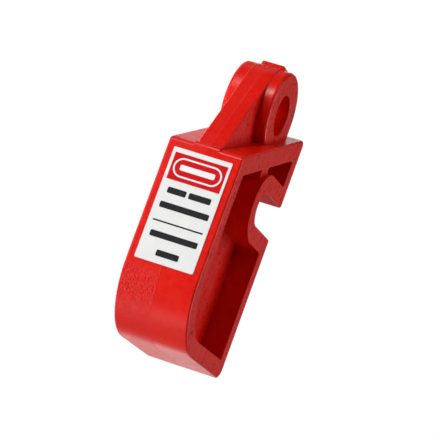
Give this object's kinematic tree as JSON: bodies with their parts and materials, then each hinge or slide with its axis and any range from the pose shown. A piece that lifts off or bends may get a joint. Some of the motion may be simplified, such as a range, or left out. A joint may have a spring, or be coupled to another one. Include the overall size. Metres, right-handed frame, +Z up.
{
  "type": "fuse lockout block",
  "caption": "Red moulded lockout block with a hook slot at the back, a padlock lug on top and a printed label on the front.",
  "frame": {"origin": "middle of the footprint, on the plane that the foot stands on", "axes": "+X to the right along the width, -Y out of the labelled front, +Y out of the hook slot, +Z up to the padlock lug"},
  "size_m": [0.017, 0.0397, 0.0692],
  "materials": {
    "frosted_nylon": "satin red nylon with a fine frosted grain",
    "plain_nylon": "smooth semi-gloss red nylon",
    "label_vinyl": "satin white vinyl with printed panels"
  },
  "bodies": {
    "root": {"left_half": "frosted_nylon", "right_half": "plain_nylon", "label": "label_vinyl"}
  },
  "joints": []
}
